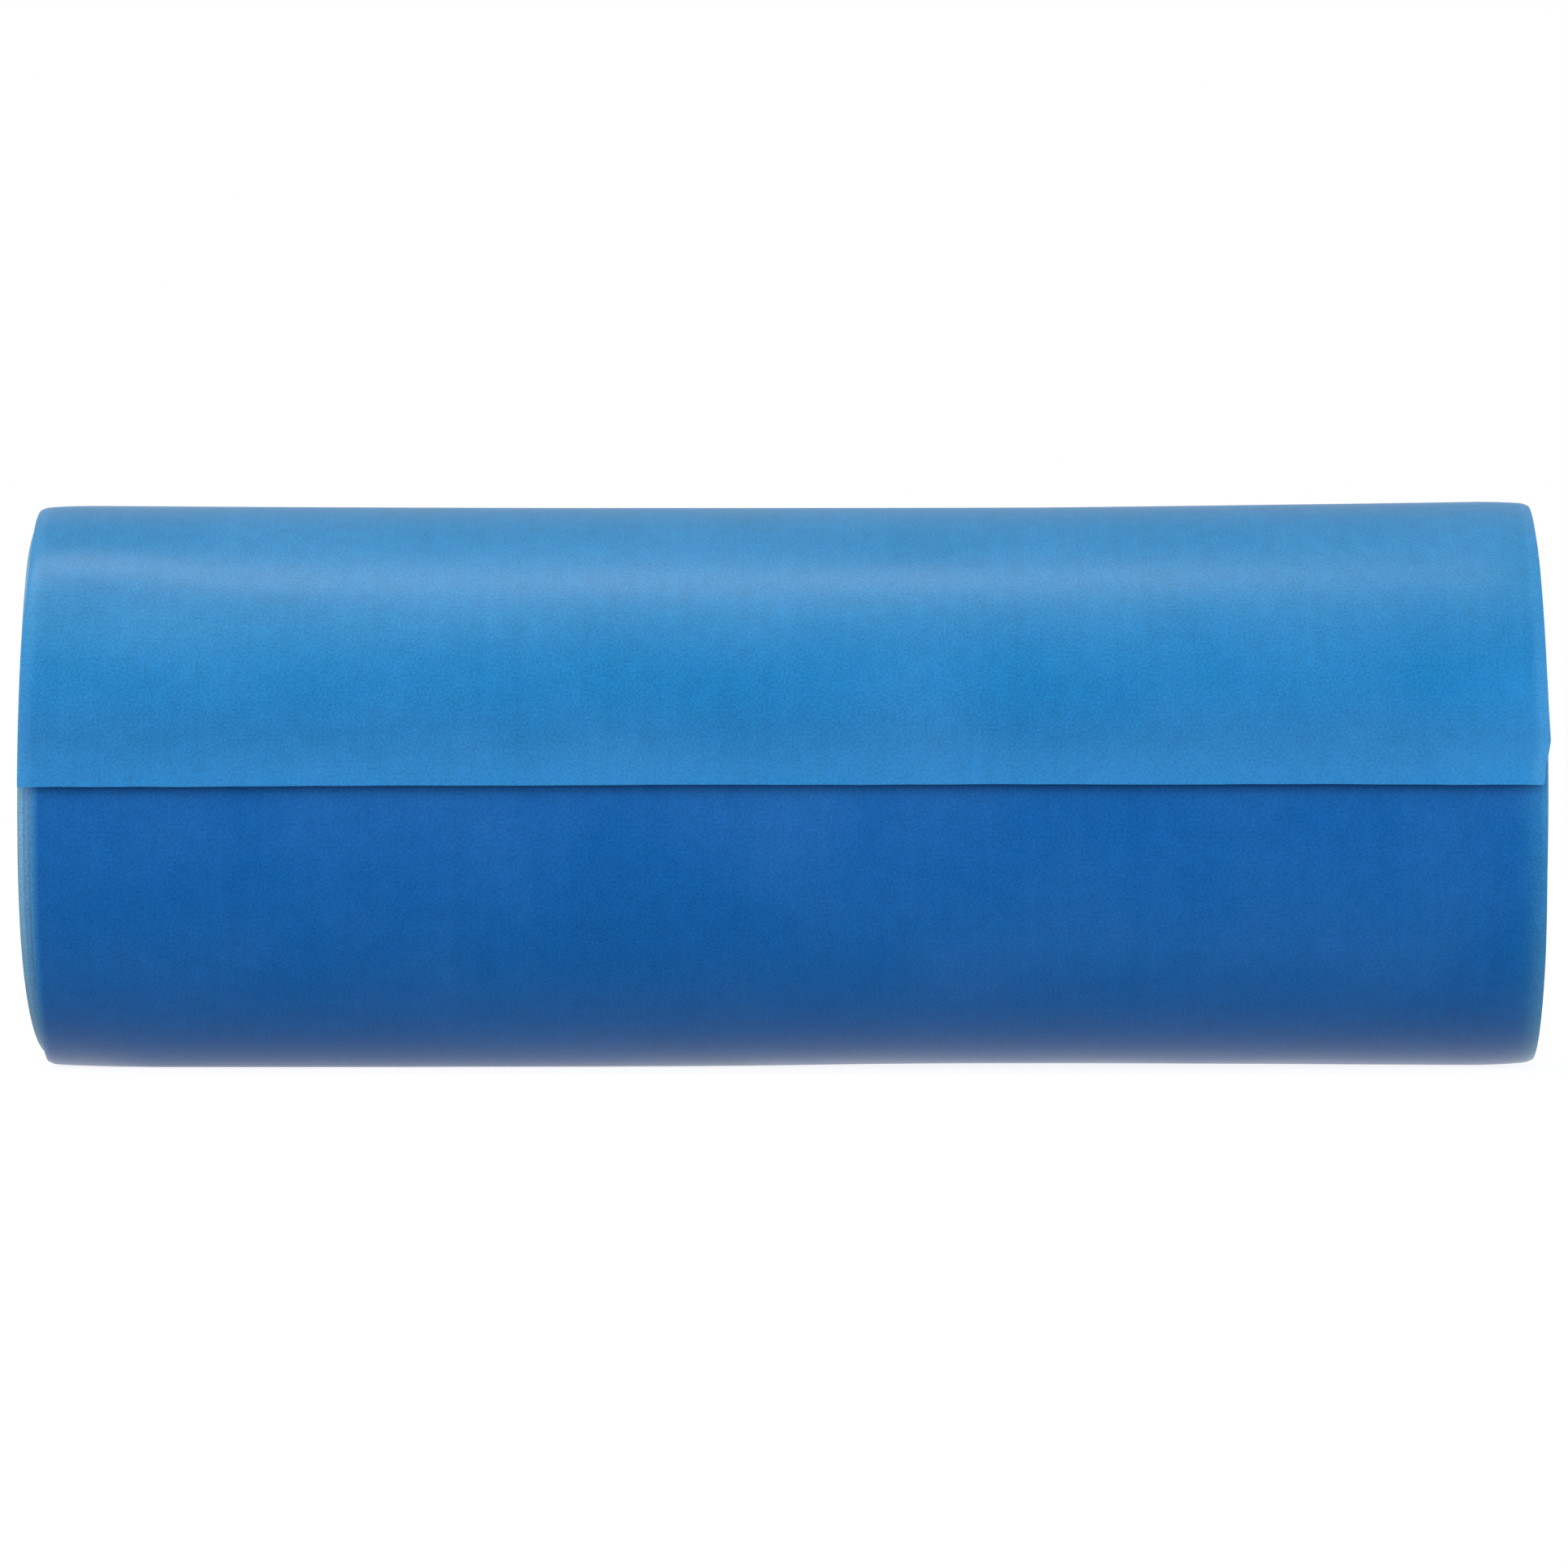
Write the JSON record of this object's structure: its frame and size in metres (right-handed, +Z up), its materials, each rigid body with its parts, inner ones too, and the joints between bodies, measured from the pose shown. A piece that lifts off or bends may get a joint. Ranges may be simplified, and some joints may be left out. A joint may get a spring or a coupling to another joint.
{
  "type": "resistance band roll",
  "caption": "Roll of flat blue latex exercise band, wound in a spiral on a paperboard core tube, its free end lapped over the top and resting on the front.",
  "frame": {"origin": "middle of the core tube's bore, on the roll's axis", "axes": "+X along the roll's axis, to the right as seen from the front; +Y to the back; +Z up, with the flat that the roll lies on at -Z"},
  "size_m": [0.15, 0.0573, 0.0564],
  "materials": {
    "paperboard": "matte kraft paperboard, wound in plies",
    "paper_tape": "matte creped paper tape",
    "wound_latex": "powdered natural latex, tight turns lying on each other",
    "free_latex": "powdered natural latex, one loose layer with a soft sheen"
  },
  "bodies": {
    "roll": {"core_tube": "paperboard", "starter_tape": "paper_tape", "wound_band": "wound_latex"},
    "free_end_1": {"free_end_1": "free_latex"},
    "free_end_2": {"free_end_2": "free_latex"},
    "free_end_3": {"free_end_3": "free_latex"},
    "free_end_4": {"free_end_4": "free_latex"}
  },
  "joints": [
    {"name": "peel", "type": "hinge", "parent": "roll", "child": "free_end_1", "pos_m": [0, 0.01429, 0.02475], "axis": [-1, 0, 0], "range_deg": [0, 30]},
    {"name": "bend_2", "type": "hinge", "parent": "free_end_1", "child": "free_end_2", "pos_m": [0, 0, 0.02865], "axis": [-1, 0, 0], "range_deg": [0, 30]},
    {"name": "bend_3", "type": "hinge", "parent": "free_end_2", "child": "free_end_3", "pos_m": [0, -0.01436, 0.02487], "axis": [-1, 0, 0], "range_deg": [0, 30]},
    {"name": "bend_4", "type": "hinge", "parent": "free_end_3", "child": "free_end_4", "pos_m": [0, -0.02493, 0.01439], "axis": [-1, 0, 0], "range_deg": [0, 30]}
  ],
  "couplings": [
    {"joint": "bend_2", "follows": "peel", "ratio": 1},
    {"joint": "bend_3", "follows": "peel", "ratio": 1},
    {"joint": "bend_4", "follows": "peel", "ratio": 1}
  ]
}
